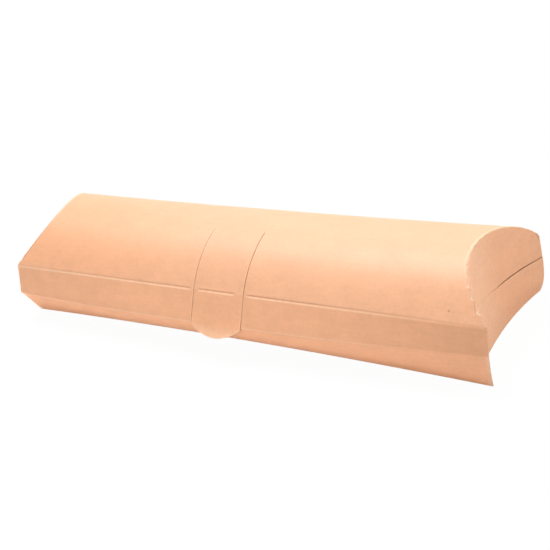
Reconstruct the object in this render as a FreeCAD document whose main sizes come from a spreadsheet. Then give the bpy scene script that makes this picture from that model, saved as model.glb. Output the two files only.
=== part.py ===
"""Paperboard pillow box: arched top, swelling walls, curved end flaps and a tear strip. Millimetres, +Z up.

The box lies along X with its front towards -Y. Its underside rests on z = 0, with the origin at the middle.
"""
import FreeCAD, Part
import math
import os

import Sketcher

DRIVING_SIZES = (
    ("length", 200.0, "from ear to ear along the box"),
    ("width", 51.2, "between the two top creases"),
    ("wall_height", 23.5, "height of the top creases"),
    ("arch_rise", 13.4, "rise of the top panel above its creases, at the ears"),
    ("crown_sag", 1.3, "how much less it rises at the middle"),
    ("board", 0.45, "thickness of the board"),
    ("glue", 0.25, "thickness of the seam adhesive"),
    ("fold_height", 13.6, "height at which a wall folds under"),
    ("fold_spread", 2.9, "how far a wall leans out at that height, at the ears"),
    ("wall_swell", 4.4, "how much further it leans out at the middle"),
    ("bottom_tuck", 0.4, "how far a bottom crease lies inside the top crease, at the ears"),
    ("bottom_waist", 1.9, "how much further it lies inside at the middle"),
    ("under_swell", 1.5, "outward swell of the strip that folds under"),
    ("top_dip", 10.7, "depth of the curved end crease in the top panel"),
    ("bottom_dip", 5.5, "depth of the curved end crease in the bottom panel"),
    ("bottom_setback", 1.4, "distance of the bottom corners from the ears"),
    ("crease_gap", 0.3, "running gap along a folding crease"),
    ("side_gap", 0.35, "gap between an end flap and a wall"),
    ("slit_height", 13.9, "height of the slit between the end flaps"),
    ("slit_gap", 0.5, "width of that slit"),
    ("slit_step", 0.3, "how far the lower flap stands out at the slit"),
    ("flap_swell", 1.0, "outward swell of the lower flap's two sides"),
    ("strip_width", 21.3, "width of the tear strip"),
    ("cut_gap", 0.25, "width of the two cuts beside the strip"),
    ("cut_end", 3.8, "distance of the strip's fold from the crest"),
    ("seam_height", 14.1, "height of the outer flap's lower edge"),
    ("tongue_drop", 3.7, "height of the pull tongue"),
    ("tongue_shoulder", 0.7, "straight part of the tongue's sides"),
    ("glue_lap", 1.6, "distance of the adhesive from the flap's edge and the front wall's edge"),
    ("glue_play", 0.04, "room on either face of the adhesive"),
    ("glue_end", 8.0, "distance of the adhesive from the ears"),
    ("glue_start", 4.0, "distance of the adhesive from the cuts"),
    ("lip_drop", 1.2, "distance of the front wall's free edge below the crease"),
)


class Size:
    """A length that is a number here and a formula on the sheet of sizes."""

    def __init__(self, text, value):
        self.text = text
        self.value = value

    def __add__(self, other):
        other = as_size(other)
        return Size(f"({self.text} + {other.text})", self.value + other.value)

    def __sub__(self, other):
        other = as_size(other)
        return Size(f"({self.text} - {other.text})", self.value - other.value)

    def __mul__(self, other):
        other = as_size(other)
        return Size(f"({self.text} * {other.text})", self.value * other.value)

    def __truediv__(self, other):
        other = as_size(other)
        return Size(f"({self.text} / {other.text})", self.value / other.value)

    def __neg__(self):
        return Size(f"(0 - {self.text})", -self.value)


def as_size(item):
    return item if isinstance(item, Size) else Size(str(item), float(item))


def root(size):
    return Size(f"sqrt({size.text})", math.sqrt(size.value))


def arc_radius(half_chord, rise):
    return (half_chord * half_chord + rise * rise) / (rise * 2)


doc = FreeCAD.newDocument("pillow_box")
sheet = doc.addObject("Spreadsheet::Sheet", "Sizes")
for row, (alias, number, meaning) in enumerate(DRIVING_SIZES, start=1):
    sheet.set(f"A{row}", alias)
    sheet.set(f"B{row}", str(number))
    sheet.set(f"C{row}", meaning)
    sheet.setAlias(f"B{row}", alias)
doc.recompute()


def size(alias):
    return Size(f"Sizes.{alias}", float(sheet.get(alias)))


# Driving sizes
length = size("length")
board = size("board")
wall_height = size("wall_height")
fold_height = size("fold_height")
crease_gap = size("crease_gap")
seam_height = size("seam_height")
zero = as_size(0)

# Shared by all sections of the box
half_length = length / 2
half_width = size("width") / 2
ear_foot = half_width - size("bottom_tuck")
waist_foot = ear_foot - size("bottom_waist")
lean_fall = wall_height - fold_height
seam_step = board + size("glue")
lip = wall_height - size("lip_drop")

# Curved ends, as circles seen from above
top_circle = arc_radius(half_width, size("top_dip"))
top_circle_x = half_length - size("top_dip") + top_circle
bottom_ear = half_length - size("bottom_setback")
bottom_circle = arc_radius(ear_foot, size("bottom_dip"))
bottom_circle_x = bottom_ear - size("bottom_dip") + bottom_circle

# Tear strip
half_strip = size("strip_width") / 2
half_slot = half_strip + size("cut_gap")
strip_fold_y = -size("cut_end")
tongue_tip = seam_height - size("tongue_drop")

# Room that the cutting sketches need beyond the box
margin = size("width")


class Section:
    """The cross-section of the box at one place along it."""

    def __init__(self, place, rise, spread, foot):
        self.place = place
        self.spread = spread
        self.foot = foot
        self.arch_outer = arc_radius(half_width, rise)
        self.arch_inner = self.arch_outer - board
        self.arch_middle = wall_height + rise - self.arch_outer
        self.slope = root(lean_fall * lean_fall + spread * spread) / lean_fall
        self.through = board * self.slope
        self.crease_inside = (
            half_width * self.arch_inner / self.arch_outer,
            wall_height - board * (self.arch_outer - rise) / self.arch_outer,
        )

    def arch_height(self, across, radius):
        """Height of the arch of that radius at a distance from the middle."""
        return self.arch_middle + root(radius * radius - across * across)

    def lean_reach(self, height):
        """Reach of the leaning upper strip's outer face at a height."""
        return half_width + self.spread * (wall_height - height) / lean_fall


def ear_section(side):
    return Section(half_length * side, size("arch_rise"), size("fold_spread"), ear_foot)


waist_section = Section(
    zero,
    size("arch_rise") - size("crown_sag"),
    size("fold_spread") + size("wall_swell"),
    waist_foot,
)
SECTIONS = (ear_section(-1), waist_section, ear_section(1))


def new_body(name):
    return doc.addObject("PartDesign::Body", name)


def new_sketch(body, name, role, shift=None):
    plane = next(item for item in body.Origin.OriginFeatures if item.Role == role)
    sketch = body.newObject("Sketcher::SketchObject", f"{body.Name}_{name}")
    sketch.AttachmentSupport = [(plane, "")]
    sketch.MapMode = "FlatFace"
    if shift is not None:
        sketch.setExpression("AttachmentOffset.Base.z", shift.text)
    return sketch


def bind(sketch, kind, items, wanted):
    """Add a dimension to a sketch and tie it to its formula."""
    index = sketch.addConstraint(Sketcher.Constraint(kind, *items, wanted.value))
    sketch.setExpression(f"Constraints[{index}]", wanted.text)


def pin(sketch, geometry, corner, point):
    """Fix a point of a sketch by its two coordinates."""
    for axis, kind, wanted in ((-2, "DistanceX", point[0]), (-1, "DistanceY", point[1])):
        if wanted.text == zero.text:
            sketch.addConstraint(Sketcher.Constraint("PointOnObject", geometry, corner, axis))
        else:
            bind(sketch, kind, (-1, 1, geometry, corner), wanted)


def flat(point):
    return FreeCAD.Vector(point[0].value, point[1].value, 0)


def arc_between(start, end, radius, turn):
    """Minor arc from start to end: turn is 1 for anticlockwise and -1 for clockwise."""
    chord = end - start
    across = FreeCAD.Vector(-chord.y, chord.x, 0).normalize()
    reach = math.sqrt(max(radius * radius - chord.Length ** 2 / 4, 0.0))
    middle = start + chord / 2 + across * (reach * turn)
    first, last = (start, end) if turn > 0 else (end, start)
    angles = [math.atan2(point.y - middle.y, point.x - middle.x) for point in (first, last)]
    circle = Part.Circle(middle, FreeCAD.Vector(0, 0, 1), radius)
    return Part.ArcOfCircle(circle, *angles)


def draw_outline(sketch, start, steps):
    """Closed outline: each step is (end point,) for a line or (end point, radius, turn) for an arc."""
    points = [start] + [step[0] for step in steps]
    ends = []
    for before, step in zip(points, steps):
        if len(step) == 1:
            geometry = sketch.addGeometry(Part.LineSegment(flat(before), flat(step[0])), False)
            ends.append((geometry, 1, 2))
            continue
        arc = arc_between(flat(before), flat(step[0]), step[1].value, step[2])
        geometry = sketch.addGeometry(arc, False)
        ends.append((geometry, 1, 2) if step[2] > 0 else (geometry, 2, 1))
    for place, (geometry, first, last) in enumerate(ends):
        earlier, _, earlier_end = ends[place - 1]
        sketch.addConstraint(Sketcher.Constraint("Coincident", earlier, earlier_end, geometry, first))
        pin(sketch, geometry, first, points[place])
        if len(steps[place]) == 3:
            bind(sketch, "Radius", (geometry,), steps[place][1])


def draw_circle(sketch, middle_x, radius):
    middle = FreeCAD.Vector(middle_x.value, 0, 0)
    circle = Part.Circle(middle, FreeCAD.Vector(0, 0, 1), radius.value)
    geometry = sketch.addGeometry(circle, False)
    pin(sketch, geometry, 3, (middle_x, zero))
    bind(sketch, "Radius", (geometry,), radius)


def draw_rectangle(sketch, low, high):
    corners = (low, (high[0], low[1]), high, (low[0], high[1]))
    draw_outline(sketch, corners[0], [(corner,) for corner in corners[1:] + corners[:1]])


def pad(body, sketch, distance, both_ways=False):
    feature = body.newObject("PartDesign::Pad", f"{sketch.Name}_pad")
    feature.Profile = sketch
    feature.SideType = "Symmetric" if both_ways else "One side"
    feature.setExpression("Length", distance.text)
    sketch.Visibility = False
    doc.recompute()
    return feature


def cut_through(body, sketch):
    """Cut a sketch through the whole body, both ways, and make sure that it took something away."""
    before = body.Shape.Volume
    feature = body.newObject("PartDesign::Pocket", f"{sketch.Name}_cut")
    feature.Profile = sketch
    feature.SideType = "Two sides"
    feature.Type = "ThroughAll"
    feature.Type2 = "ThroughAll"
    sketch.Visibility = False
    doc.recompute()
    if body.Shape.Volume >= before:
        raise RuntimeError(f"{sketch.Name} cut nothing")


def loft_sections(body, draw, *details):
    """Loft a profile through the sections at both ears and the middle."""
    sketches = []
    for name, section in zip(("left", "middle", "right"), SECTIONS):
        sketch = new_sketch(body, name, "YZ_Plane", section.place)
        draw(sketch, section, *details)
        sketch.Visibility = False
        sketches.append(sketch)
    feature = body.newObject("PartDesign::AdditiveLoft", f"{body.Name}_loft")
    feature.Profile = sketches[0]
    feature.Sections = sketches[1:]
    doc.recompute()


def trim_to(body, low, high):
    """Cut away what lies beyond two places along the box."""
    sketch = new_sketch(body, "trim", "XY_Plane")
    draw_rectangle(sketch, (low - length * 2, -margin), (low, margin))
    draw_rectangle(sketch, (high, -margin), (high + length * 2, margin))
    cut_through(body, sketch)


def add_bottom_panel():
    body = new_body("bottom_panel")
    outline = new_sketch(body, "outline", "XY_Plane")
    front = -(ear_foot - seam_step)
    waist_radius = arc_radius(half_length, size("bottom_waist"))
    draw_outline(outline, (-half_length, front), [
        ((half_length, front), waist_radius, -1),
        ((half_length, ear_foot),),
        ((-half_length, ear_foot), waist_radius, -1),
        ((-half_length, front),),
    ])
    pad(body, outline, board)
    ends = new_sketch(body, "ends", "XY_Plane")
    for side in (1, -1):
        draw_circle(ends, bottom_circle_x * side, bottom_circle)
    cut_through(body, ends)
    return body


def draw_wall(sketch, section, side, inset, top_outer, top_inner):
    """Outline of a wall: leaning strip, strip that folds under, foot, and back up. side is -1 at the front."""
    reach = section.lean_reach(fold_height) - inset * section.slope
    foot = section.foot - inset
    back = reach - foot
    fall = fold_height - board
    swell = arc_radius(root(back * back + fall * fall) / 2, size("under_swell"))
    draw_outline(sketch, (top_outer[0] * side, top_outer[1]), [
        ((reach * side, fold_height),),
        ((foot * side, board), swell, -side),
        (((foot - section.through) * side, board),),
        (((reach - section.through) * side, fold_height), swell, side),
        ((top_inner[0] * side, top_inner[1]),),
        ((top_outer[0] * side, top_outer[1]),),
    ])


def draw_back_wall(sketch, section):
    draw_wall(sketch, section, 1, zero, (half_width, wall_height), section.crease_inside)


def draw_front_wall(sketch, section):
    outer = section.lean_reach(lip) - seam_step * section.slope
    draw_wall(sketch, section, -1, seam_step, (outer, lip), (outer - section.through, lip))


def add_lofted(name, draw, *details):
    body = new_body(name)
    loft_sections(body, draw, *details)
    return body


def draw_arch_band(sketch, section, right_outer, right_inner):
    """Band of the arch from the front crease to a given right-hand end."""
    inner_y, inner_z = section.crease_inside
    draw_outline(sketch, (-half_width, wall_height), [
        (right_outer, section.arch_outer, -1),
        (right_inner,),
        ((-inner_y, inner_z), section.arch_inner, 1),
        ((-half_width, wall_height),),
    ])


def draw_whole_arch(sketch, section):
    draw_arch_band(sketch, section, (half_width, wall_height), section.crease_inside)


def draw_strip_arch(sketch, section):
    outer = section.arch_height(strip_fold_y, section.arch_outer)
    inner = section.arch_height(strip_fold_y, section.arch_inner)
    draw_arch_band(sketch, section, (strip_fold_y, outer), (strip_fold_y, inner))


def add_top_panel():
    body = add_lofted("top_panel", draw_whole_arch)
    plan = new_sketch(body, "plan", "XY_Plane")
    for side in (1, -1):
        draw_circle(plan, top_circle_x * side, top_circle)
    cut_through(body, plan)
    slot = new_sketch(body, "slot", "XY_Plane")
    draw_rectangle(slot, (-half_slot, -margin), (half_slot, strip_fold_y + size("cut_gap")))
    cut_through(body, slot)
    return body


def draw_folded_band(sketch, section):
    """Band of the front from the mitre of the top crease to the seam."""
    inner_y, inner_z = section.crease_inside
    reach = section.lean_reach(seam_height)
    draw_outline(sketch, (-half_width, wall_height), [
        ((-reach, seam_height),),
        ((section.through - reach, seam_height),),
        ((-inner_y, inner_z),),
        ((-half_width, wall_height),),
    ])


def draw_leaning_band(sketch, section, top, bottom, depth, thickness):
    """Straight band on the front, parallel to the leaning strip and so far behind its outer face."""
    behind = depth * section.slope
    through = behind + thickness * section.slope
    top_reach = section.lean_reach(top)
    bottom_reach = section.lean_reach(bottom)
    draw_outline(sketch, (behind - top_reach, top), [
        ((behind - bottom_reach, bottom),),
        ((through - bottom_reach, bottom),),
        ((through - top_reach, top),),
        ((behind - top_reach, top),),
    ])


def add_front_piece(name, draw, low, high, *details):
    body = add_lofted(name, draw, *details)
    trim_to(body, low, high)
    return body


def add_seam_glue(name, low, high):
    play = size("glue_play")
    band = (lip - size("glue_lap"), seam_height + size("glue_lap"), board + play, size("glue") - play * 2)
    return add_front_piece(name, draw_leaning_band, low, high, *band)


def add_pull_tongue():
    band = (seam_height, tongue_tip, zero, board)
    body = add_front_piece("pull_tongue", draw_leaning_band, -half_strip, half_strip, *band)
    rounding = new_sketch(body, "rounding", "XZ_Plane")
    shoulder = seam_height - size("tongue_shoulder")
    radius = arc_radius(half_strip, size("tongue_drop") - size("tongue_shoulder"))
    below = tongue_tip - size("tongue_drop")
    draw_outline(rounding, (-half_strip, shoulder), [
        ((half_strip, shoulder), radius, 1),
        ((half_strip, below),),
        ((-half_strip, below),),
        ((-half_strip, shoulder),),
    ])
    cut_through(body, rounding)
    return body


def draw_ring(sketch, middle_x, outside, inside):
    """All of the plan except a ring: what is beyond its outer circle and what is within its inner one."""
    reach = outside + margin
    draw_rectangle(sketch, (middle_x - reach, -reach), (middle_x + reach, reach))
    draw_circle(sketch, middle_x, outside)
    draw_circle(sketch, middle_x, inside)


def add_upper_flap(name, side):
    """End flap that hangs from the arch's curved crease, a shallow upright trough."""
    body = new_body(name)
    profile = new_sketch(body, "profile", "YZ_Plane", half_length * side)
    ear = ear_section(side)
    edge = size("slit_height") + size("slit_gap") / 2
    back = half_width - board - size("side_gap")
    front = back - seam_step
    front_top = (-front, ear.arch_height(front, ear.arch_outer))
    draw_outline(profile, front_top, [
        ((back, ear.arch_height(back, ear.arch_outer)), ear.arch_outer, -1),
        ((back, edge),),
        ((-front, edge),),
        (front_top,),
    ])
    pad(body, profile, margin, both_ways=True)
    ring = new_sketch(body, "ring", "XY_Plane")
    outside = top_circle - crease_gap
    draw_ring(ring, top_circle_x * side, outside, outside - board)
    cut_through(body, ring)
    return body


def loft_circles(body, name, kind, low, high):
    """Cone between a circle on the floor and a circle at the height of the slit."""
    sketches = []
    for level, shift, circle in (("low", zero, low), ("high", size("slit_height"), high)):
        sketch = new_sketch(body, f"{name}_{level}", "XY_Plane", shift)
        draw_circle(sketch, *circle)
        sketch.Visibility = False
        sketches.append(sketch)
    feature = body.newObject(kind, f"{body.Name}_{name}")
    feature.Profile = sketches[0]
    feature.Sections = sketches[1:]
    feature.Ruled = True
    doc.recompute()


def add_lower_flap(name, side):
    """End flap that rises from the bottom panel's curved crease to the slit, a piece of a leaning cone."""
    body = new_body(name)
    low_x = bottom_circle_x * side
    high_x = top_circle_x * side
    low = bottom_circle - crease_gap
    high = top_circle - crease_gap - size("slit_step")
    loft_circles(body, "outside", "PartDesign::AdditiveLoft", (low_x, low), (high_x, high))
    loft_circles(body, "inside", "PartDesign::SubtractiveLoft", (low_x, low - board), (high_x, high - board))
    outline = new_sketch(body, "outline", "YZ_Plane")
    edge = size("slit_height") - size("slit_gap") / 2
    foot_back = ear_foot - board * 2 - size("side_gap")
    foot_front = foot_back - seam_step
    back = half_width - board - size("side_gap")
    front = back - seam_step
    slant = back - foot_back
    swell = arc_radius(root(edge * edge + slant * slant) / 2, size("flap_swell"))
    draw_rectangle(outline, (-margin, -margin), (margin, margin))
    draw_outline(outline, (-front, edge), [
        ((-foot_front, zero), swell, 1),
        ((foot_back, zero),),
        ((back, edge), swell, 1),
        ((-front, edge),),
    ])
    cut_through(body, outline)
    beyond = new_sketch(body, "beyond", "XY_Plane")
    draw_rectangle(beyond, (half_length * side, -length), ((half_length + length) * side, length))
    cut_through(body, beyond)
    return body


def check_and_write(bodies):
    doc.recompute()
    failed = [item.Label for item in doc.Objects if "Invalid" in item.State or "Error" in item.State]
    if failed:
        raise RuntimeError(f"failed objects: {failed}")
    for body in bodies:
        shape = body.Shape
        if shape.isNull() or not shape.isValid() or len(shape.Solids) != 1:
            raise RuntimeError(f"{body.Label} is not one valid solid")
    os.makedirs("parts", exist_ok=True)
    for body in bodies:
        body.Shape.exportStep(f"parts/{body.Label}.step")


glue_inner = half_slot + size("glue_start")
glue_outer = half_length - size("glue_end")
check_and_write([
    add_bottom_panel(),
    add_lofted("back_wall", draw_back_wall),
    add_lofted("front_wall", draw_front_wall),
    add_top_panel(),
    add_front_piece("front_flap_left", draw_folded_band, -half_length, -half_slot),
    add_front_piece("front_flap_right", draw_folded_band, half_slot, half_length),
    add_seam_glue("seam_glue_left", -glue_outer, -glue_inner),
    add_seam_glue("seam_glue_right", glue_inner, glue_outer),
    add_front_piece("tear_strip", draw_strip_arch, -half_strip, half_strip),
    add_front_piece("pull_tab", draw_folded_band, -half_strip, half_strip),
    add_pull_tongue(),
    add_upper_flap("right_upper_flap", 1),
    add_lower_flap("right_lower_flap", 1),
    add_upper_flap("left_upper_flap", -1),
    add_lower_flap("left_lower_flap", -1),
])
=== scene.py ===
"""Looks of a kraft paperboard pillow box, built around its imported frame. Metres, +Z up, front towards -Y."""
import math

import bpy
import numpy as np
from mathutils import Matrix, Vector, noise


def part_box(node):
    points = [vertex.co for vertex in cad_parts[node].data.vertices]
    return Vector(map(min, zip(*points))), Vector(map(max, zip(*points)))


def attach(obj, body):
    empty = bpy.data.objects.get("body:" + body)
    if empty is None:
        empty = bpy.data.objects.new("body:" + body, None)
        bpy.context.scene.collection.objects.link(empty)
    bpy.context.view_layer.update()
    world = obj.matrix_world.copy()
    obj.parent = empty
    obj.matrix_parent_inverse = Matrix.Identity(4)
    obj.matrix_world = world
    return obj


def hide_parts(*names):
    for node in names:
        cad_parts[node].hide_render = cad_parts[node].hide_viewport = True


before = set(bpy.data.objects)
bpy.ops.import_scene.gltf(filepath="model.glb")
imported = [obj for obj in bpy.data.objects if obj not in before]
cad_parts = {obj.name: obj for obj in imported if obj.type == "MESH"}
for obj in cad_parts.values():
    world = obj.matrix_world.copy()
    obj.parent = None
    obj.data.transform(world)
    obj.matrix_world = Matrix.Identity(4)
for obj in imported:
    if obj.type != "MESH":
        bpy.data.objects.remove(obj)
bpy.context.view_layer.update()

bl_info = {
    "name": "Kraft pillow box",
    "version": (1, 0, 0),
    "blender": (4, 5, 0),
    "location": "View3D > Sidebar > Pillow box",
    "description": "Dresses the frame of a paperboard pillow box with its creased board panels",
    "category": "Object",
}

MM = 0.001
BOX_HEART = Vector((0.0, 0.0, 15 * MM))
FRONT = -1
BACK = 1
FOLDED_RIM = 0
CUT_RIM = 1
SMOOTH_ANGLE = math.radians(38)
SHARP_ANGLE = math.radians(50)
EDGE_BEVEL = 0.04 * MM
CREASE_TURN = 0.955
RIM_TURNS = (-1.0, -0.5, -0.1)
FOOT_LIFT = 0.1 * MM
SPECK = Vector((87.2, -23.28, 26.35)) * MM
SPECK_RADIUS = 0.4 * MM
SPECK_DEPTH = 0.5
FLECK_CELLS = 210.0
FLECK_RADIUS = 0.075
FLECK_CHOICE = 0.8
FLECK_DEPTH = 0.14
WORN_WIDTH = 0.35 * MM
LIP_COLUMN = 0.8 * MM
LIP_WIDTH = 0.3 * MM
LIP_LIFT = 0.06 * MM
LIP_WEAR = 0.2
BACK_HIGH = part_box("back_wall")[1]
TOP_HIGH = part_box("top_panel")[1]
TAB_LOW, TAB_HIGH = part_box("pull_tab")
STRIP_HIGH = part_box("tear_strip")[1]


def length(name, default, description):
    return bpy.props.FloatProperty(
        name=name,
        default=default,
        description=description,
        min=0.0,
        unit="LENGTH",
        subtype="DISTANCE",
        precision=5,
    )


def tint(name, default, description):
    return bpy.props.FloatVectorProperty(
        name=name, default=default, description=description, size=3, min=0.0, max=1.0, subtype="COLOR"
    )


def share(name, default, description):
    return bpy.props.FloatProperty(
        name=name, default=default, description=description, min=0.0, subtype="FACTOR"
    )


class BoxSizes(bpy.types.PropertyGroup):
    """Sizes of the box and of the marks on its board."""

    half_length: length("Half length", BACK_HIGH.x, "From the middle to an ear")
    half_width: length("Half width", TOP_HIGH.y, "From the middle to a top crease")
    wall_height: length("Wall height", BACK_HIGH.z, "Height of the top creases")
    arch_rise: length("Arch rise", 13.4 * MM, "Rise of the top panel above its creases, at the ears")
    crown_sag: length("Crown sag", 1.3 * MM, "How much less it rises at the middle")
    board: length("Board", 0.45 * MM, "Thickness of the board")
    seam_step: length("Seam step", 0.7 * MM, "From the outer flap's face to the front wall's face")
    lip_drop: length("Lip drop", 1.2 * MM, "Distance of the front wall's free edge below the crease")
    fold_height: length("Fold height", 13.6 * MM, "Height at which a wall folds under")
    front_spread: length("Front spread", 2.9 * MM, "How far the front leans out there, at the ears")
    back_spread: length("Back spread", 0.9 * MM, "How far the back leans out there, at the ears")
    waist_spread: length("Waist spread", 7.3 * MM, "How far both lean out there, at the middle")
    bottom_tuck: length("Bottom tuck", 0.4 * MM, "How far a bottom crease lies inside the top crease")
    bottom_waist: length("Bottom waist", 1.9 * MM, "How much further inside at the middle")
    foot_slew: length("Foot slew", 1.0 * MM, "How far the front foot turns out to the right")
    ear_slew: length("Ear slew", 0.45 * MM, "How much more the front leans out towards the left")
    under_swell: length("Under swell", 1.5 * MM, "Outward swell of the part that folds under, at the middle")
    top_dip: length("Top dip", 10.7 * MM, "Depth of the end crease in the top panel")
    bottom_dip: length("Bottom dip", 6.0 * MM, "Depth of the end crease in the bottom panel")
    bottom_setback: length("Bottom setback", 1.6 * MM, "Distance of the bottom corners from the ears")
    half_strip: length("Half strip", TAB_HIGH.x, "Half the width of the tear strip")
    strip_end: length("Strip end", -STRIP_HIGH.y, "Distance of the strip's fold from the crest")
    seam_height: length("Seam height", TAB_LOW.z, "Height of the outer flaps' lower edge, at the right")
    seam_sink: length("Seam sink", 2.4 * MM, "How much lower that edge lies at the left ear")
    seam_lap: length("Seam lap", 0.5 * MM, "How far the front fold lies below that edge, at the right")
    fold_lift: length("Fold lift", 1.5 * MM, "How much that lap shrinks towards the left ear")
    slit_height: length("Slit height", 13.8 * MM, "Height of the slit between the end flaps, at the back")
    slit_climb: length("Slit climb", 1.9 * MM, "How much higher the slit lies at the front")
    tongue_drop: length("Tongue drop", 3.8 * MM, "Height of the pull tongue")
    tongue_shoulder: length("Tongue shoulder", 0.7 * MM, "Straight part of the tongue's sides")
    cut_gap: length("Cut gap", 0.23 * MM, "Width of the cuts beside the strip")
    score_depth: length("Score depth", 0.32 * MM, "Depth of the pressed crease lines")
    score_width: length("Score width", 0.38 * MM, "Half width of the pressed crease lines")
    tooth_pitch: length("Tooth pitch", 3.8 * MM, "Distance between the teeth of the right end crease")
    tooth_depth: length("Tooth depth", 1.15 * MM, "Depth of the teeth of the right end crease")
    ripple: length("Ripple", 0.14 * MM, "Unevenness of the panels")
    end_skew: share("End skew", 0.29, "How much deeper the top end crease runs towards the front")
    bottom_skew: share("Bottom skew", 0.45, "How far forward the bottom end crease is deepest")


class BoxColours(bpy.types.PropertyGroup):
    """Colours of the board and the adhesive."""

    kraft: tint("Kraft", (0.848, 0.43, 0.237), "Face of the board")
    # pale serves worn and cut edges, and also painted highlights, sheen and light
    pale: tint("Pale kraft", (0.96, 0.76, 0.56), "Worn and cut edges")
    # fleck serves the darker fibres, and also painted shade
    fleck_and_shade: tint("Fleck", (0.42, 0.16, 0.08), "Darker fibres in the board")
    core: tint("Core", (0.82, 0.46, 0.27), "Cut edge of the board")
    adhesive: tint("Adhesive", (0.80, 0.70, 0.52), "Seam adhesive")
    floor: tint("Floor", (0.98, 0.98, 0.98), "Studio floor")


def ramp(value, places, results):
    """Straight lines between the results at the places."""
    return float(np.interp(value, places, results))


def bell(distance, width):
    """1 at no distance, falling smoothly to nothing over a few widths."""
    return math.exp(-((distance / width) ** 2))


def soft_step(value, low, high):
    """0 below low, 1 above high, smooth between them."""
    part = min(max((value - low) / (high - low), 0.0), 1.0)
    return part * part * (3.0 - 2.0 * part)


class BoxForm:
    """The curved surfaces that the panels of the box lie on.

    Places along the box run from -1 at the left ear to 1 at the right one.
    Turns round the arch run from -1 at the front crease to 1 at the back one.
    """

    left_power = 3.5
    left_closing = 0.6
    under_places = (-1.0, -0.5, 0.5, 1.0)
    under_shares = (0.0, 0.9, 0.9, 0.27)
    bottom_front_power = 3.0
    bottom_back_power = 2.3
    end_play = 0.04 * MM
    ear_start = 2.2 * MM
    ear_end = 0.9 * MM
    right_slant = 0.55
    left_slant = 0.1
    front_slant_power = 1.3
    back_slant = 1.1
    back_slant_power = 4.0
    score_places = (0.2, 0.75, 1.0)
    score_shares = (1.0, 0.55, 0.25)
    break_outside = 0.6 * MM
    break_inside_left = 1.4 * MM
    break_inside_right = 3.4 * MM
    break_fade = 1.2 * MM
    press_places = (-1.0, -0.4, 0.0)
    press_shares = (0.3, 0.6, 1.0)
    # painted shade along the upper side of the pressed crease line
    groove_shade_strength = 0.36
    groove_shade_offset = 0.25 * MM
    groove_shade_width = 0.26 * MM
    # painted sheen on the top, paler towards the right
    sheen_places = (-0.7, -0.1)
    sheen_shares = (0.0, 0.1)
    slow_waves = 24.0
    quick_waves = 70.0
    quick_share = 0.4
    tooth_start = 0.05
    tooth_turns = (-1.0, -0.985, -0.45, -0.2, 1.0)
    tooth_shares = (0.0, 1.0, 0.8, 0.25, 0.1)
    tuft_reach = 1.3 * MM

    def __init__(self, sizes):
        self.sizes = sizes
        self.ear_foot = sizes.half_width - sizes.bottom_tuck
        self.lean_fall = sizes.wall_height - sizes.fold_height
        self.half_slot = sizes.half_strip + sizes.cut_gap

    def swell(self, x):
        """1 at the middle of the length and 0 at the ears."""
        return 1.0 - (x / self.sizes.half_length) ** 2

    def arch_circle(self, x):
        """Radius, half angle and middle height of the arch at a place along the box."""
        sizes = self.sizes
        rise = sizes.arch_rise - sizes.crown_sag * self.swell(x)
        radius = (sizes.half_width ** 2 + rise ** 2) / (2.0 * rise)
        return radius, math.asin(sizes.half_width / radius), sizes.wall_height + rise - radius

    def arch(self, x, turn, lift=0.0):
        """Point on the arch: turn runs from -1 at the front crease to 1 at the back crease."""
        radius, half_angle, middle = self.arch_circle(x)
        angle = turn * half_angle
        return Vector((x, (radius + lift) * math.sin(angle), middle + (radius + lift) * math.cos(angle)))

    def arch_turn(self, x, y):
        """The turn at which the arch lies at y."""
        radius, half_angle, _ = self.arch_circle(x)
        return math.asin(y / radius) / half_angle

    def arch_distance(self, x, turn):
        """Distance along the arch from its nearer crease."""
        radius, half_angle, _ = self.arch_circle(x)
        return (1.0 - abs(turn)) * radius * half_angle

    def spread(self, x, side):
        """How far a wall leans out at its fold."""
        sizes = self.sizes
        slewed = sizes.front_spread + sizes.ear_slew * (1.0 - x / sizes.half_length)
        ear = slewed if side == FRONT else sizes.back_spread
        return ear + (sizes.waist_spread - ear) * self.swell(x)

    def leftward(self, x):
        """0 along most of the box, rising to 1 at the left ear."""
        return (0.5 - 0.5 * x / self.sizes.half_length) ** self.left_power

    def seam_line(self, x):
        """Height of the outer flaps' lower edge, which sinks towards the left ear."""
        return self.sizes.seam_height - self.sizes.seam_sink * self.leftward(x)

    def fold(self, x, side):
        """Height at which a wall folds under. In front it follows the seam and rises past it at the left."""
        sizes = self.sizes
        if side == BACK:
            return sizes.fold_height
        return self.seam_line(x) - sizes.seam_lap + sizes.fold_lift * self.leftward(x)

    def seam_inset(self, x, height):
        """How far the front wall lies behind the outer flaps: less at its foot and at the left ear."""
        step = self.sizes.seam_step * (1.0 - self.left_closing * self.leftward(x))
        return step * min(height / self.fold(x, FRONT), 1.0)

    def lean(self, x, height, side, lift=0.0):
        """Point on the leaning upper part of a wall."""
        spread = self.spread(x, side)
        slope = math.hypot(spread, self.lean_fall)
        reach = self.sizes.half_width + spread * (self.sizes.wall_height - height) / self.lean_fall
        reach += lift * self.lean_fall / slope
        return Vector((x, side * reach, height + lift * spread / slope))

    def lean_distance(self, x, height, side):
        """Distance down the leaning part from the top crease."""
        slope = math.hypot(self.spread(x, side), self.lean_fall) / self.lean_fall
        return (self.sizes.wall_height - height) * slope

    def foot(self, x, side):
        """Reach of a bottom crease."""
        slew = self.sizes.foot_slew * x / self.sizes.half_length if side == FRONT else 0.0
        return self.ear_foot - self.sizes.bottom_waist * self.swell(x) + slew

    def under_reach(self, x, height, side):
        """Reach of the part of a wall that folds under, at a height."""
        fold = self.fold(x, side)
        part = 1.0 - height / fold
        reach = abs(self.lean(x, fold, side).y)
        swollen = ramp(x / self.sizes.half_length, self.under_places, self.under_shares)
        swell = self.sizes.under_swell * swollen
        return reach + (self.foot(x, side) - reach) * part + 4.0 * swell * part * (1.0 - part)

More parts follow.
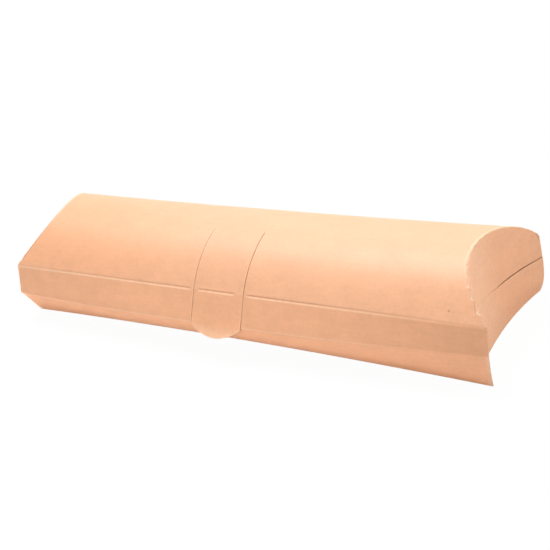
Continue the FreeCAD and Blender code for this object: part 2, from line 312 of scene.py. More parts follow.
    def wall_reach(self, x, height, side):
        """Reach of a wall at a height, above or below its fold."""
        if height > self.fold(x, side):
            return abs(self.lean(x, min(height, self.sizes.wall_height), side).y)
        return self.under_reach(x, height, side)

    def top_end(self, y):
        """Where the top panel's curved end crease lies, along the box."""
        sizes = self.sizes
        radius = (sizes.half_width ** 2 + sizes.top_dip ** 2) / (2.0 * sizes.top_dip)
        dip = math.sqrt(max(radius ** 2 - y ** 2, 0.0)) - radius + sizes.top_dip
        return sizes.half_length - max(dip, 0.0) * (1.0 - sizes.end_skew * y / sizes.half_width)

    def bottom_end(self, y):
        """Where the bottom panel's curved end crease lies, along the box."""
        sizes = self.sizes
        deepest = -sizes.bottom_skew * self.ear_foot
        if y < deepest:
            shape = min((deepest - y) / (self.ear_foot + deepest), 1.0) ** self.bottom_front_power
        else:
            shape = min((y - deepest) / (self.ear_foot - deepest), 1.0) ** self.bottom_back_power
        return sizes.half_length - sizes.bottom_setback - sizes.bottom_dip * (1.0 - shape)

    def inside_end(self, end, y):
        """An end curve set in by a board's thickness and a little play, which fade at the ears."""
        small = 0.1 * MM
        slope = (end(y + small) - end(y - small)) / (2.0 * small)
        inset = (self.sizes.board + self.end_play) * self.ear_fade(y)
        return end(y) - inset * math.hypot(1.0, slope)

    def ear_fade(self, y):
        """1 along an end crease and 0 at its ears."""
        half_width = self.sizes.half_width
        return 1.0 - soft_step(abs(y), half_width - self.ear_start, half_width - self.ear_end)

    def wall_end(self, height, side, end):
        """Where a wall's end edge lies: it slants inwards below the fold, in front only a little."""
        low = max(1.0 - height / self.sizes.fold_height, 0.0)
        front_slant = self.right_slant if end > 0.0 else self.left_slant
        slant = self.back_slant * low ** self.back_slant_power
        if side == FRONT:
            slant = front_slant * low ** self.front_slant_power
        return self.sizes.half_length - self.sizes.bottom_setback * slant

    def scored(self, x):
        """1 where the crease is pressed, 0 beside the cuts, and little at the right end."""
        fade = ramp(x / self.sizes.half_length, self.score_places, self.score_shares)
        beyond = abs(x) - self.half_slot
        inside = self.break_inside_right if x > 0.0 else self.break_inside_left
        plain = self.break_outside if beyond > 0.0 else inside
        return fade * soft_step(abs(beyond), plain, plain + self.break_fade)

    def pressed(self, x):
        """1 along most of the crease, less towards the left."""
        return ramp(x / self.sizes.half_length, self.press_places, self.press_shares)

    def score(self, x, distance):
        """Depth of the pressed crease line."""
        depth = -self.sizes.score_depth * self.pressed(x) * self.scored(x)
        return depth * bell(distance, self.sizes.score_width)

    def painted_groove_shade(self, x, distance):
        """Painted shade: how dark the upper side of the pressed crease line is painted."""
        darkness = self.groove_shade_strength * self.scored(x) * self.pressed(x)
        return darkness * bell(distance - self.groove_shade_offset, self.groove_shade_width)

    def painted_sheen(self, x):
        """Painted sheen: how much paler the top is painted, from the middle to the right."""
        return ramp(x / self.sizes.half_length, self.sheen_places, self.sheen_shares)

    def uneven(self, point, strength):
        """Slow ripple of a panel, nothing where the strength is nothing."""
        slow = noise.noise(point * self.slow_waves)
        quick = noise.noise(point * self.quick_waves)
        return self.sizes.ripple * strength * (slow + self.quick_share * quick)

    def teeth(self, turn):
        """Jog of the right end crease at a turn of the arch, and how near a tooth's tip is, 0 to 1."""
        sizes = self.sizes
        radius, half_angle, _ = self.arch_circle(sizes.half_length)
        from_ear = (turn + 1.0) * radius * half_angle
        part = (from_ear / sizes.tooth_pitch - self.tooth_start) % 1.0
        fade = ramp(turn, self.tooth_turns, self.tooth_shares)
        jog = sizes.tooth_depth * (part - 0.5) * fade
        return jog, bell(part * sizes.tooth_pitch, self.tuft_reach) * fade


def lay_board(name, place, columns, rows, gloss=0.0):
    """Flat grid of board, bent to its place by a function of along and across, each -1 to 1.

    The function gives a point and its wear and painted light: above 0 pale for wear, cut lips and painted
    highlights, sheen and light, below 0 dark for painted shade.
    """
    bpy.ops.object.select_all(action="DESELECT")
    bpy.ops.mesh.primitive_grid_add(x_subdivisions=columns, y_subdivisions=rows, size=2.0)
    piece = bpy.context.active_object
    piece.name = name
    piece.data.name = name
    wear_and_light = piece.data.attributes.new("wear_and_light", "FLOAT", "POINT")
    sheen = piece.data.attributes.new("gloss", "FLOAT", "POINT")
    for vertex in piece.data.vertices:
        point, tone_shift = place(vertex.co.x, vertex.co.y)
        vertex.co = point
        wear_and_light.data[vertex.index].value = tone_shift
        sheen.data[vertex.index].value = gloss
    piece.data.update()
    return piece


def face_outwards(piece):
    """Turn a sheet's faces away from the middle of the box."""
    facing = sum((face.center - BOX_HEART).dot(face.normal) * face.area for face in piece.data.polygons)
    if facing < 0.0:
        bpy.ops.object.mode_set(mode="EDIT")
        bpy.ops.mesh.select_all(action="SELECT")
        bpy.ops.mesh.flip_normals()
        bpy.ops.object.mode_set(mode="OBJECT")


def cut_out(piece, test):
    """Delete the faces whose middle passes the test."""
    bpy.ops.object.mode_set(mode="EDIT")
    bpy.ops.mesh.select_all(action="DESELECT")
    bpy.ops.object.mode_set(mode="OBJECT")
    for face in piece.data.polygons:
        face.select = test(face.center)
    bpy.ops.object.mode_set(mode="EDIT")
    bpy.ops.mesh.delete(type="FACE")
    bpy.ops.object.mode_set(mode="OBJECT")


def round_fold(piece, test, width):
    """Bevel the edges of a fold, chosen by both their ends."""
    bpy.ops.object.mode_set(mode="EDIT")
    bpy.ops.mesh.select_mode(type="EDGE")
    bpy.ops.mesh.select_all(action="DESELECT")
    bpy.ops.object.mode_set(mode="OBJECT")
    points = piece.data.vertices
    for edge in piece.data.edges:
        edge.select = all(test(points[index].co) for index in edge.vertices)
    bpy.ops.object.mode_set(mode="EDIT")
    bpy.ops.mesh.bevel(offset=width, segments=4, profile=0.5)
    bpy.ops.object.mode_set(mode="OBJECT")


def apply_modifier(piece, kind, **settings):
    """Add a modifier to the active piece and apply it."""
    modifier = piece.modifiers.new(kind.title(), kind)
    for key, value in settings.items():
        setattr(modifier, key, value)
    bpy.ops.object.modifier_apply(modifier=modifier.name)


def take_place(piece, node, body):
    """Shade a piece and put it in place of its node."""
    bpy.ops.object.shade_smooth_by_angle(angle=SMOOTH_ANGLE)
    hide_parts(node)
    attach(piece, body)


def finish_board(piece, node, body, thickness, soften=True, rim=CUT_RIM):
    """Give a sheet its thickness, its rim and soft edges, and put it in place of its node."""
    face_outwards(piece)
    piece.data.materials.append(bpy.data.materials["board_face"])
    piece.data.materials.append(bpy.data.materials["board_core"])
    apply_modifier(piece, "SOLIDIFY", thickness=thickness, offset=-1.0, material_offset_rim=rim)
    if soften:
        apply_modifier(
            piece, "BEVEL", width=EDGE_BEVEL, segments=2, limit_method="ANGLE", angle_limit=SHARP_ANGLE
        )
    take_place(piece, node, body)


class Tone:
    """A value in a node tree: arithmetic on it adds Math nodes."""

    def __init__(self, finish, socket):
        self.finish = finish
        self.socket = socket

    def math(self, operation, first, second):
        node = self.finish.node("ShaderNodeMath", {"operation": operation}, {0: first, 1: second})
        return Tone(self.finish, node.outputs[0])

    def __add__(self, other):
        return self.math("ADD", self, other)

    __radd__ = __add__

    def __mul__(self, other):
        return self.math("MULTIPLY", self, other)

    __rmul__ = __mul__

    def __sub__(self, other):
        return self.math("SUBTRACT", self, other)

    def __rsub__(self, other):
        return self.math("SUBTRACT", other, self)

    def above(self, limit):
        return self.math("GREATER_THAN", self, limit)

    def below(self, limit):
        return self.math("LESS_THAN", self, limit)

    def at_least(self, other):
        return self.math("MAXIMUM", self, other)


class Finish:
    """The nodes that make a procedural material, or the world."""

    def __init__(self, owner, output="ShaderNodeOutputMaterial"):
        owner.use_nodes = True
        self.tree = owner.node_tree
        self.tree.nodes.clear()
        self.output = self.node(output)

    def feed(self, socket, value):
        if isinstance(value, Tone):
            value = value.socket
        if isinstance(value, bpy.types.NodeSocket):
            self.tree.links.new(value, socket)
        else:
            socket.default_value = value

    def node(self, kind, settings=None, sockets=None):
        node = self.tree.nodes.new(kind)
        for key, value in (settings or {}).items():
            setattr(node, key, value)
        for key, value in (sockets or {}).items():
            self.feed(node.inputs[key], value)
        return node

    def place(self, stretch=(1.0, 1.0, 1.0)):
        """Object coordinates, stretched."""
        coordinates = self.node("ShaderNodeTexCoord")
        sockets = {"Vector": coordinates.outputs["Object"], "Scale": stretch}
        return self.node("ShaderNodeMapping", None, sockets).outputs[0]

    def cloud(self, scale, detail, stretch=(1.0, 1.0, 1.0), roughness=0.55):
        """Noise about nothing, from -0.5 to 0.5."""
        sockets = {"Vector": self.place(stretch), "Scale": scale, "Detail": detail, "Roughness": roughness}
        return Tone(self, self.node("ShaderNodeTexNoise", None, sockets).outputs["Fac"]) - 0.5

    def near(self, point, radius):
        """1 within a small distance of a point of the object."""
        settings = {"operation": "DISTANCE"}
        gap = self.node("ShaderNodeVectorMath", settings, {0: self.place(), 1: point}).outputs["Value"]
        return Tone(self, gap).below(radius)

    def attribute(self, name):
        return Tone(self, self.node("ShaderNodeAttribute", {"attribute_name": name}).outputs["Fac"])

    def blend(self, amount, first, second, kind="MIX"):
        settings = {"data_type": "RGBA", "blend_type": kind, "clamp_factor": True}
        return self.node("ShaderNodeMix", settings, {0: amount, 6: first, 7: second}).outputs[2]

    def brighten(self, colour, factor):
        """Colour times a grey value."""
        grey = self.node("ShaderNodeCombineColor", None, {0: factor, 1: factor, 2: factor}).outputs[0]
        return self.blend(1.0, colour, grey, "MULTIPLY")

    def bump(self, height, distance, strength):
        sockets = {"Height": height, "Distance": distance, "Strength": strength}
        return self.node("ShaderNodeBump", None, sockets).outputs[0]

    def surface(self, sockets):
        self.show(self.node("ShaderNodeBsdfPrincipled", None, sockets))

    def show(self, shader):
        self.feed(self.output.inputs["Surface"], shader.outputs[0])


def opaque(colour):
    return (*colour, 1.0)


def make_board_face(colours):
    """Face of the board: mottling, long fibres, a few flecks, paler worn edges with painted highlights and
    sheen, and painted shade along the crease grooves and towards the right of the front.
    """
    finish = Finish(bpy.data.materials.new("board_face"))
    broad = finish.cloud(scale=38.0, detail=3.0)
    fine = finish.cloud(scale=850.0, detail=4.0, roughness=0.65)
    fibres = finish.cloud(scale=900.0, detail=3.0, stretch=(0.16, 1.0, 1.0))
    patches = finish.cloud(scale=150.0, detail=2.0)
    factor = 1.0 + broad * 0.13 + patches * 0.12 + fine * 0.17 + fibres * 0.12
    sockets = {"Vector": finish.place(), "Scale": FLECK_CELLS, "Randomness": 1.0}
    cells = finish.node("ShaderNodeTexVoronoi", None, sockets)
    parts = finish.node("ShaderNodeSeparateColor", None, {0: cells.outputs["Color"]})
    chosen = Tone(finish, parts.outputs[0])
    near_middle = Tone(finish, cells.outputs["Distance"]).below(FLECK_RADIUS)
    flecks = near_middle * chosen.above(FLECK_CHOICE) * FLECK_DEPTH
    speck = finish.near(SPECK, SPECK_RADIUS) * SPECK_DEPTH
    colour = finish.brighten(opaque(colours.kraft), factor)
    colour = finish.blend(flecks.at_least(speck), colour, opaque(colours.fleck_and_shade))
    wear_and_light = finish.attribute("wear_and_light")
    # paler for wear and cut lips, and for painted highlights, sheen and light
    colour = finish.blend(wear_and_light * (0.75 + fine * 0.9), colour, opaque(colours.pale))
    # darker where the value is below 0: painted shade
    colour = finish.blend(wear_and_light * -1.0, colour, opaque(colours.fleck_and_shade))
    finish.surface({
        "Base Color": colour,
        "Roughness": 0.74 - finish.attribute("gloss") * 0.26 + fine * 0.14 + fibres * 0.08,
        "Specular IOR Level": 0.5,
        "Normal": finish.bump(fine * 0.6 + fibres * 0.5 + broad * 0.4, distance=0.05 * MM, strength=0.55),
    })


def make_board_core(colours):
    """Cut edge of the board: pale, layered and rough."""
    finish = Finish(bpy.data.materials.new("board_core"))
    fuzz = finish.cloud(scale=2600.0, detail=3.0)
    layers = finish.cloud(scale=5200.0, detail=2.0, stretch=(0.1, 1.0, 1.0))
    finish.surface({
        "Base Color": finish.brighten(opaque(colours.core), 1.0 + fuzz * 0.22 + layers * 0.16),
        "Roughness": 0.82 + fuzz * 0.10,
        "Normal": finish.bump(fuzz + layers, distance=0.04 * MM, strength=0.5),
    })


def make_glue_film(colours):
    """Seam adhesive: milky, with the dabs of the roller that laid it."""
    finish = Finish(bpy.data.materials.new("glue_film"))
    dabs = finish.cloud(scale=420.0, detail=2.0)
    finish.surface({
        "Base Color": finish.brighten(opaque(colours.adhesive), 1.0 + dabs * 0.16),
        "Roughness": 0.42 + dabs * 0.2,
        "Normal": finish.bump(dabs, distance=0.08 * MM, strength=0.6),
    })


def get_form(context):
    return BoxForm(context.scene.pillow_box_sizes)


class PILLOWBOX_OT_finishes(bpy.types.Operator):
    """Make the materials of the board and the adhesive"""

    bl_idname = "pillowbox.finishes"
    bl_label = "Board finishes"

    def execute(self, context):
        colours = context.scene.pillow_box_colours
        make_board_face(colours)
        make_board_core(colours)
        make_glue_film(colours)
        return {"FINISHED"}


class PILLOWBOX_OT_bottom_panel(bpy.types.Operator):
    """Lay the flat underside with its waisted sides and curved ends"""

    bl_idname = "pillowbox.bottom_panel"
    bl_label = "Bottom panel"

    wall_lap = 0.2 * MM
    rim_paling = 0.4
    rim_share = 0.01

    def execute(self, context):
        form = get_form(context)
        sizes = form.sizes

        def place(along, across):
            nominal = along * (sizes.half_length - sizes.bottom_setback)
            side = FRONT if across < 0.0 else BACK
            y = across * (form.foot(nominal, side) - self.wall_lap)
            x = along * form.inside_end(form.bottom_end, y)
            return Vector((x, y, 0.0)), self.rim_paling * bell(1.0 - abs(along), self.rim_share)

        piece = lay_board("bottom_panel_board", place, columns=90, rows=40)
        finish_board(piece, "bottom_panel", "carton", sizes.board)
        return {"FINISHED"}


class PILLOWBOX_OT_walls(bpy.types.Operator):
    """Stand the back wall and the inner front wall, each folded under at its foot"""

    bl_idname = "pillowbox.walls"
    bl_label = "Walls"

    rows = (-1.0, -0.86, 0.0, 0.7, 1.0)
    foot_band = 0.6 * MM
    top_band = 1.4 * MM
    end_wear = 0.4
    fold_reach = 0.15 * MM
    fold_round = 0.28 * MM

    def execute(self, context):
        form = get_form(context)
        self.add_wall(form, "back_wall", BACK, 0.0)
        self.add_wall(form, "front_wall", FRONT, form.sizes.lip_drop)
        return {"FINISHED"}

    def add_wall(self, form, node, side, top_drop):
        sizes = form.sizes
        top = sizes.wall_height - top_drop

        def place(along, across):
            fold = form.fold(along * sizes.half_length, side)
            heights = (FOOT_LIFT, FOOT_LIFT + self.foot_band, fold, top - self.top_band, top)
            height = ramp(across, self.rows, heights)
            x = along * form.wall_end(height, side, along)
            slope = math.hypot(form.spread(x, side), form.lean_fall) / form.lean_fall
            inset = form.seam_inset(x, height) if side == FRONT else 0.0
            reach = form.wall_reach(x, height, side) - inset * slope
            ripple = form.uneven(Vector((x, side * reach, height)), math.sin(math.pi * abs(across)))
            if side == BACK:
                ripple += form.score(0.0, form.lean_distance(x, height, side))
            tone_shift = self.end_wear * bell((1.0 - abs(along)) * sizes.half_length, WORN_WIDTH)
            return Vector((x, side * (reach + ripple * slope), height)), tone_shift

        def on_fold(point):
            return abs(point.z - form.fold(point.x, side)) < self.fold_reach

        piece = lay_board(f"{node}_board", place, columns=120, rows=60)
        round_fold(piece, on_fold, self.fold_round)
        finish_board(piece, node, "carton", sizes.board)


class PILLOWBOX_OT_top_panel(bpy.types.Operator):
    """Bend the arched top panel with its scored creases, curved ends and the slot of the tear strip"""

    bl_idname = "pillowbox.top_panel"
    bl_label = "Top panel"

    slot_columns = 0.15
    slot_row = -0.12
    slot_play = 0.01 * MM
    lip_columns = 0.04
    crease_row = 0.8
    end_columns = 0.93
    end_band = 1.2 * MM
    # paler rim along the curved end crease: wear of the fold, with painted light making it brighter towards
    # the crest
    rim_paling = (0.07, 0.23, 0.58)
    rim_width = 0.5 * MM

    def execute(self, context):
        form = get_form(context)
        sizes = form.sizes
        slot_back = self.slot_play - sizes.strip_end
        rows = (-1.0, -self.crease_row, self.slot_row, self.crease_row, 1.0)
        columns = (self.slot_columns, self.slot_columns + self.lip_columns, self.end_columns, 1.0)

        def place(along, across):
            nominal = along * sizes.half_length
            slot_turn = form.arch_turn(nominal, slot_back)
            turn = ramp(across, rows, (-1.0, -CREASE_TURN, slot_turn, CREASE_TURN, 1.0))
            y = form.arch(nominal, turn).y
            jog = form.teeth(turn)[0] if along > 0.0 else 0.0
            reach = form.inside_end(form.top_end, y) + jog - form.half_slot
            out = ramp(abs(along), columns, (0.0, LIP_COLUMN, reach - self.end_band, reach))
            x = form.half_slot + out
            if abs(along) < self.slot_columns:
                x = abs(along) / self.slot_columns * form.half_slot
                out = form.half_slot
            x = math.copysign(x, along)
            lift = form.uneven(form.arch(x, turn), 1.0 - turn * turn)
            scored = x if turn < 0.0 else 0.0
            lift += form.score(scored, form.arch_distance(x, turn))
            # worn rim with painted light, brighter towards the crest
            tone_shift = ramp(turn, RIM_TURNS, self.rim_paling) * bell(reach - out, self.rim_width)
            if y < slot_back:
                lip = bell(out, LIP_WIDTH)
                lift += LIP_LIFT * lip
                tone_shift = max(tone_shift, LIP_WEAR * lip)
            if turn < 0.0:
                # painted shade above the front crease
                tone_shift -= form.painted_groove_shade(x, form.arch_distance(x, turn))
            # painted sheen added on top
            return form.arch(x, turn, lift), tone_shift + form.painted_sheen(x)

        piece = lay_board("top_panel_board", place, columns=200, rows=110, gloss=1.0)
        cut_out(piece, lambda middle: abs(middle.x) < form.half_slot and middle.y < slot_back)
        finish_board(piece, "top_panel", "carton", sizes.board, soften=False, rim=FOLDED_RIM)
        return {"FINISHED"}


def front_band(form, low_x, high_x, cut_low, cut_high, glued):
    """Place function of a band of the front between two places.

    Its cut edges have a small lip, and a glued foot is pressed in.
    """
    sizes = form.sizes
    columns = (-1.0, -0.92, 0.92, 1.0)
    spans = (low_x, low_x + LIP_COLUMN, high_x - LIP_COLUMN, high_x)
    rows = (-1.0, -0.8, 0.55, 1.0)
    drops = (1.0, 0.93, 0.14, 0.0)
    glue_press = 0.2 * MM
    glue_reach = 1.3 * MM
    # pale band just below the pressed crease: painted highlight on the groove's lit lower side, with some
    # paling of the crushed fibres
    score_highlight = 0.5
    score_highlight_offset = 0.42 * MM
    score_highlight_width = 0.28 * MM
    seam_places = (-1.0, 0.3, 1.0)
    seam_wear = (0.55, 0.45, 0.1)
    lip_wear = 0.22
    # painted shade: the front is darkened towards its right end
    painted_shade = 0.12
    painted_shade_start = 0.55
    painted_shade_end = 0.95

    def place(along, across):
        x = ramp(along, columns, spans)
        drop = ramp(across, rows, drops)
        seam = form.seam_line(x) if glued else sizes.seam_height
        height = sizes.wall_height - drop * (sizes.wall_height - seam)
        distance = form.lean_distance(x, height, FRONT)
        to_seam = form.lean_distance(x, seam, FRONT) - distance
        lift = form.uneven(form.lean(x, height, FRONT), math.sin(math.pi * drop)) + form.score(x, distance)
        lift -= glue_press * glued * bell(to_seam, glue_reach)
        low_lip = bell(x - low_x, LIP_WIDTH) * cut_low
        high_lip = bell(high_x - x, LIP_WIDTH) * cut_high
        lift += LIP_LIFT * (low_lip + high_lip)
        # painted highlight below the crease, with some paling of the crushed fibres
        pressed = score_highlight * form.scored(x) * bell(distance - score_highlight_offset, score_highlight_width)
        edge = ramp(x / sizes.half_length, seam_places, seam_wear) * glued * bell(to_seam, WORN_WIDTH)
        tone_shift = max(edge, pressed, lip_wear * low_lip, lip_wear * high_lip)
        # painted shade towards the right end
        tone_shift -= painted_shade * soft_step(x / sizes.half_length, painted_shade_start, painted_shade_end)
        point = form.lean(x, height, FRONT, lift)
        if height < form.fold(x, FRONT):
            point.y += abs(form.lean(x, height, FRONT).y) - form.under_reach(x, height, FRONT)
        return point, tone_shift

    return place


class PILLOWBOX_OT_front_flaps(bpy.types.Operator):
    """Fold the two outer flaps down over the front wall, beside the tear strip"""

    bl_idname = "pillowbox.front_flaps"
    bl_label = "Front flaps"

    def execute(self, context):
        form = get_form(context)
        slot = form.half_slot
        ear = form.sizes.half_length
        for node, low_x, high_x, cut_low, cut_high in (
            ("front_flap_left", -ear, -slot, 0.0, 1.0),
            ("front_flap_right", slot, ear, 1.0, 0.0),
        ):
            place = front_band(form, low_x, high_x, cut_low, cut_high, glued=1.0)
            piece = lay_board(f"{node}_board", place, columns=110, rows=40)
            finish_board(piece, node, "carton", form.sizes.board)
        return {"FINISHED"}


class PILLOWBOX_OT_tear_strip(bpy.types.Operator):
    """Lay the tear strip, its pull tab and its rounded tongue"""

    bl_idname = "pillowbox.tear_strip"
    bl_label = "Tear strip"

    columns = (-1.0, -0.85, 0.85, 1.0)
    rows = (-1.0, -0.7, 1.0)
    tongue_curl = 0.9 * MM
    tongue_edge_wear = 0.52
    # painted light: the tongue is painted paler towards its tip
    tongue_painted_light = 0.32

    def execute(self, context):
        form = get_form(context)
        sizes = form.sizes
        half = sizes.half_strip

        def across_strip(along):
            return ramp(along, self.columns, (-half, LIP_COLUMN - half, half - LIP_COLUMN, half))

        def strip(along, across):
            x = across_strip(along)
            end = form.arch_turn(x, -sizes.strip_end)
            turn = ramp(across, self.rows, (-1.0, -CREASE_TURN, end))
            lip = bell(half - abs(x), LIP_WIDTH)
            lift = form.uneven(form.arch(x, turn), 1.0 - turn * turn)
            distance = form.arch_distance(x, turn)
            lift += form.score(x, distance) + LIP_LIFT * lip
            # pale lips at the cuts, less the painted shade above the crease
            tone_shift = LIP_WEAR * lip - form.painted_groove_shade(x, distance)
            # painted sheen added on top
            return form.arch(x, turn, lift), tone_shift + form.painted_sheen(x)

        def tongue(along, across):
            x = across_strip(along)
            sag = sizes.tongue_drop - sizes.tongue_shoulder
            radius = (half ** 2 + sag ** 2) / (2.0 * sag)
            depth = sizes.tongue_shoulder + math.sqrt(radius ** 2 - x ** 2) - radius + sag
            fallen = (1.0 - across) / 2.0 * depth
            curl = self.tongue_curl * (fallen / sizes.tongue_drop) ** 2
            edge = self.tongue_edge_wear * bell(depth - fallen, WORN_WIDTH)
            # painted light towards the tongue's tip
            tone_shift = max(edge, self.tongue_painted_light * fallen / sizes.tongue_drop)
            return form.lean(x, sizes.seam_height - fallen, FRONT, curl), tone_shift

        piece = lay_board("tear_strip_board", strip, columns=48, rows=48, gloss=1.0)
        finish_board(piece, "tear_strip", "tear_strip", sizes.board, soften=False)
        tab = front_band(form, -half, half, cut_low=1.0, cut_high=1.0, glued=0.0)
        piece = lay_board("pull_tab_board", tab, columns=48, rows=40)
        finish_board(piece, "pull_tab", "pull_tab", sizes.board, soften=False)
        piece = lay_board("pull_tongue_board", tongue, columns=48, rows=20)
        finish_board(piece, "pull_tongue", "pull_tongue", sizes.board, soften=False)
        return {"FINISHED"}


class PILLOWBOX_OT_end_flaps(bpy.types.Operator):
    """Hang the upper end flaps from the arch and stand the lower ones on the bottom crease"""

    bl_idname = "pillowbox.end_flaps"
    bl_label = "End flaps"

    side_play = 0.06 * MM
    lip_fade = 0.8 * MM
    # painted light on the end flaps, stronger towards the front
    painted_light_least = 0.1
    painted_light_more = 0.18
    painted_light_span = (-0.4, 0.1)
    open_span = (-0.1, 0.4)
    lap_span = (-0.2, 0.4)
    back_span = (0.4, 1.0)
    climb_start = 0.25
    climb_rate = 3.1 * MM
    slit_places = (-0.05, 0.2, 0.4, 0.75, 1.0)
    slit_gaps = (0.01, 0.03, 0.22, 0.22, 0.16)
    upper_rows = (-1.0, -0.8, 0.7, 1.0)
    upper_parts = (0.0, 0.05, 0.93, 1.0)
    lower_rows = (-1.0, -0.8, 0.8, 1.0)
    lower_parts = (0.0, 0.06, 0.95, 1.0)
    flush_fade = 3.0 * MM
    jog_fade = 1.2 * MM
    tuft_fade = 0.9 * MM
    # paler rim along the crease: wear of the fold, with painted light making it brighter towards the crest
    rim_paling = (0.1, 0.26, 0.6)
    lap_step = 0.25 * MM
    slit_least_wear = 0.07
    slit_more_wear = 0.32
    foot_wear = 0.32
    foot_wear_width = 0.4 * MM

    def execute(self, context):
        form = get_form(context)
        for word, side, torn in (("right", 1, 1.0), ("left", -1, 0.0)):
            self.add_flap(form, f"{word}_upper_flap", self.upper(form, side, torn))
            self.add_flap(form, f"{word}_lower_flap", self.lower(form, side))
        return {"FINISHED"}

    def add_flap(self, form, node, place):
        piece = lay_board(f"{node}_board", place, columns=150, rows=44)
        finish_board(piece, node, node, form.sizes.board, rim=FOLDED_RIM)

    def side_reach(self, form, end, height, along):
        """Room between the walls at an end; below its lip the front has the inner wall too."""
        sizes = form.sizes
        side = FRONT if along < 0.0 else BACK
        ear = end * sizes.half_length
        reach = form.wall_reach(ear, height, side) - sizes.board - self.side_play
        lip = sizes.wall_height - sizes.lip_drop
        if side == FRONT:
            reach -= form.seam_inset(ear, height) * (1.0 - soft_step(height, lip, lip + self.lip_fade))
        return reach

    def flush(self, form, along, crease_y):
        """How far a flap's side edge comes out to end level with the wall."""
        return form.top_end(along * form.sizes.half_width) - form.top_end(crease_y)

    def painted_light(self, along):
        """Painted light: paler board towards the front, and a little paler everywhere."""
        return self.painted_light_least + self.painted_light_more * soft_step(-along, *self.painted_light_span)

    def parted(self, along):
        """0 towards the front, where the slit is closed, and 1 where it is open."""
        return soft_step(along, *self.open_span)

    def slit(self, form, along):
        """Height and half width of the slit, which climbs and closes towards the front."""
        climb = min(max(self.climb_start - along, 0.0) * self.climb_rate, form.sizes.slit_climb)
        gap = ramp(along, self.slit_places, self.slit_gaps) * MM
        return form.sizes.slit_height + climb, gap

    def upper(self, form, side, torn):
        """Place function of an upper flap; torn is 1 where its crease has teeth."""
        sizes = form.sizes

        def place(along, across):
            crease_y = along * self.side_reach(form, side, sizes.wall_height, along)
            end = form.top_end(crease_y)
            turn = form.arch_turn(end, crease_y)
            jog, tip = form.teeth(turn)
            top = form.arch(end, turn).z - sizes.board * (1.0 - form.ear_fade(crease_y))
            middle, gap = self.slit(form, along)
            low = middle + gap
            height = low + (top - low) * ramp(across, self.upper_rows, self.upper_parts)
            y = along * self.side_reach(form, side, height, along)
            x = end + form.uneven(Vector((side * end, y, height)), 1.0 - along * along)
            x += self.flush(form, along, crease_y) * (1.0 - bell(top - height, self.flush_fade))
            x += torn * jog * bell(top - height, self.jog_fade)
            # worn rim with painted light, brighter towards the crest
            rim = ramp(turn, RIM_TURNS, self.rim_paling) * bell(top - height, WORN_WIDTH)
            tuft = torn * tip * bell(top - height, self.tuft_fade)
            lip = LIP_WEAR * self.parted(along) * bell(height - low, LIP_WIDTH)
            # painted light on the flap
            tone_shift = max(rim, tuft, lip, self.painted_light(along))
            return Vector((side * x, y, height)), tone_shift

        return place

    def lower(self, form, side):
        """Place function of a lower flap."""
        sizes = form.sizes

        def place(along, across):
            crease_y = along * self.side_reach(form, side, sizes.wall_height, along)
            foot_y = along * form.ear_foot
            step = self.lap_step * soft_step(along, *self.lap_span)
            middle, gap = self.slit(form, along)
            top = middle - gap
            part = ramp(across, self.lower_rows, self.lower_parts)
            height = FOOT_LIFT + (top - FOOT_LIFT) * part
            y = along * self.side_reach(form, side, height, along)
            foot_x = form.bottom_end(foot_y)
            top_x = form.top_end(crease_y) + self.flush(form, along, crease_y) + step
            x = foot_x + (top_x - foot_x) * part
            ear_x = sizes.half_length - sizes.bottom_setback * (1.0 - part)
            x += (form.wall_end(height, BACK, side) - ear_x) * soft_step(along, *self.back_span)
            free = (1.0 - along * along) * math.sin(math.pi * part)
            x += form.uneven(Vector((side * x, y, height)), free)
            slit_wear = self.slit_least_wear + self.slit_more_wear * self.parted(along)
            edge = slit_wear * bell(top - height, WORN_WIDTH)
            foot = self.foot_wear * bell(height - FOOT_LIFT, self.foot_wear_width)
            # painted light on the flap
            tone_shift = max(edge, foot, self.painted_light(along))
            return Vector((side * x, y, height)), tone_shift

        return place


class PILLOWBOX_OT_seam_glue(bpy.types.Operator):
    """Lay the adhesive bands between the front wall and the outer flaps"""

    bl_idname = "pillowbox.seam_glue"
    bl_label = "Seam adhesive"

    film = 0.18 * MM
    film_play = 0.03 * MM
    edge_wave = 0.5 * MM
    edge_waves = 300.0

    def execute(self, context):
        form = get_form(context)
        for node in ("seam_glue_left", "seam_glue_right"):
            place = self.band(form, *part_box(node))
            piece = lay_board(f"{node}_film", place, columns=80, rows=10)
            face_outwards(piece)
            piece.data.materials.append(bpy.data.materials["glue_film"])
            apply_modifier(piece, "SOLIDIFY", thickness=self.film, offset=-1.0)
            take_place(piece, node, "carton")
        return {"FINISHED"}

    def band(self, form, low, high):
        """Place function of a band as long and as high as its node, with wavy edges."""
        depth = form.sizes.board + self.film_play

        def place(along, across):
            x = ramp(along, (-1.0, 1.0), (low.x, high.x))
            height = ramp(across, (-1.0, 1.0), (low.z, high.z)) - form.sizes.seam_sink * form.leftward(x)
            wave = 1.0 + noise.noise(Vector((x * self.edge_waves, across, 0.0)))
            height -= across * self.edge_wave * wave
            return form.lean(x, height, FRONT, -depth), 0.0

        return place


